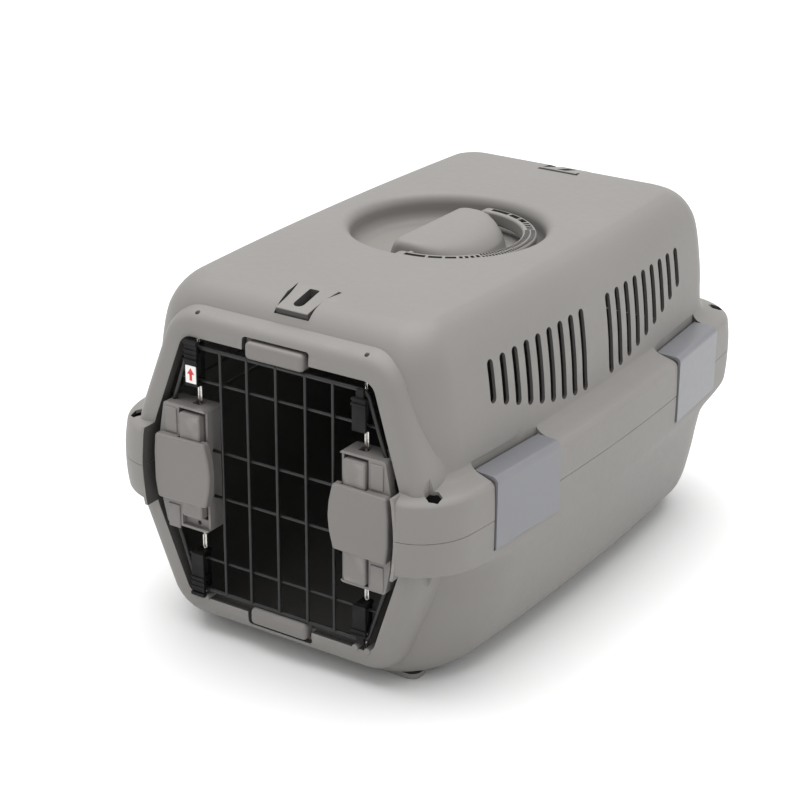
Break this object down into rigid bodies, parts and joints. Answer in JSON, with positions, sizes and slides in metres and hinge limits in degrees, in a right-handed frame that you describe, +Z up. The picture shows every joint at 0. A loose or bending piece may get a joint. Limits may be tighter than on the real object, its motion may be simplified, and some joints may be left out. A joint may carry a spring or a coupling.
{
  "type": "pet transport carrier",
  "caption": "Small-pet transport carrier: two moulded shells held by side clips, a fold-down carry handle and a wire door with spring bolts.",
  "frame": {"origin": "centre of the overall box at the height of the feet's underside", "axes": "+Z up, -Y is the side with the wire door, +X is the right-hand side when looking at the door"},
  "size_m": [0.367, 0.5598, 0.3185],
  "materials": {
    "shell": "fine matte grain",
    "latch": "satin moulded",
    "clip": "satin moulded",
    "grille": "black coated wire, satin",
    "guide": "black moulded",
    "rod": "bright drawn wire",
    "label": "white sticker with a plain red arrow"
  },
  "bodies": {
    "bottom_shell": {"bottom_shell": "shell"},
    "top_shell": {"top_shell": "shell", "strap_anchor_front": "shell", "strap_anchor_rear": "shell"},
    "carry_handle": {"carry_handle": "shell"},
    "clip_front_left": {"side_clip_front_left": "clip"},
    "clip_front_right": {"side_clip_front_right": "clip"},
    "clip_rear_left": {"side_clip_rear_left": "clip"},
    "clip_rear_right": {"side_clip_rear_right": "clip"},
    "door": {"door_grille": "grille", "latch_housing_left": "latch", "latch_housing_right": "latch", "latch_cover_left": "latch", "latch_cover_right": "latch", "door_tab_upper": "latch", "door_tab_lower": "latch", "latch_spring_lower_left": "rod", "latch_spring_lower_right": "rod", "latch_spring_upper_left": "rod", "latch_spring_upper_right": "rod"},
    "bolt_lower_left": {"latch_button_lower_left": "latch", "latch_rod_lower_left": "rod", "bolt_guide_lower_left": "guide"},
    "bolt_lower_right": {"latch_button_lower_right": "latch", "latch_rod_lower_right": "rod", "bolt_guide_lower_right": "guide"},
    "bolt_upper_left": {"latch_button_upper_left": "latch", "latch_rod_upper_left": "rod", "bolt_guide_upper_left": "guide", "arrow_label": "label"},
    "bolt_upper_right": {"latch_button_upper_right": "latch", "latch_rod_upper_right": "rod", "bolt_guide_upper_right": "guide"}
  },
  "joints": [
    {"name": "top_lift", "type": "slide", "parent": "bottom_shell", "child": "top_shell", "axis": [0, 0, 1], "range_m": [0, 0.35]},
    {"name": "handle_pivot", "type": "hinge", "parent": "top_shell", "child": "carry_handle", "pos_m": [0, 0, 0.3057], "axis": [0, -1, 0], "range_deg": [0, 95]},
    {"name": "door_hinge", "type": "hinge", "parent": "bottom_shell", "child": "door", "pos_m": [0.0835, -0.2525, 0.156], "axis": [0, 0, 1], "range_deg": [0, 110]},
    {"name": "clip_front_left", "type": "hinge", "parent": "top_shell", "child": "clip_front_left", "pos_m": [-0.15557, -0.15543, 0.192], "axis": [-0.0698, 0.9976, 0], "range_deg": [0, 90]},
    {"name": "clip_front_right", "type": "hinge", "parent": "top_shell", "child": "clip_front_right", "pos_m": [0.15557, -0.15543, 0.192], "axis": [-0.0698, -0.9976, 0], "range_deg": [0, 90]},
    {"name": "clip_rear_left", "type": "hinge", "parent": "top_shell", "child": "clip_rear_left", "pos_m": [-0.15557, 0.15543, 0.192], "axis": [0.0698, 0.9976, 0], "range_deg": [0, 90]},
    {"name": "clip_rear_right", "type": "hinge", "parent": "top_shell", "child": "clip_rear_right", "pos_m": [0.15557, 0.15543, 0.192], "axis": [0.0698, -0.9976, 0], "range_deg": [0, 90]},
    {"name": "bolt_lower_left", "type": "slide", "parent": "door", "child": "bolt_lower_left", "axis": [0, 0, 1], "range_m": [0, 0.016], "stiffness_N_per_m": 300, "springref_m": -0.01, "deforming": ["latch_spring_lower_left"]},
    {"name": "bolt_lower_right", "type": "slide", "parent": "door", "child": "bolt_lower_right", "axis": [0, 0, 1], "range_m": [0, 0.016], "stiffness_N_per_m": 300, "springref_m": -0.01, "deforming": ["latch_spring_lower_right"]},
    {"name": "bolt_upper_left", "type": "slide", "parent": "door", "child": "bolt_upper_left", "axis": [0, 0, -1], "range_m": [0, 0.016], "stiffness_N_per_m": 300, "springref_m": -0.01, "deforming": ["latch_spring_upper_left"]},
    {"name": "bolt_upper_right", "type": "slide", "parent": "door", "child": "bolt_upper_right", "axis": [0, 0, -1], "range_m": [0, 0.016], "stiffness_N_per_m": 300, "springref_m": -0.01, "deforming": ["latch_spring_upper_right"]}
  ]
}
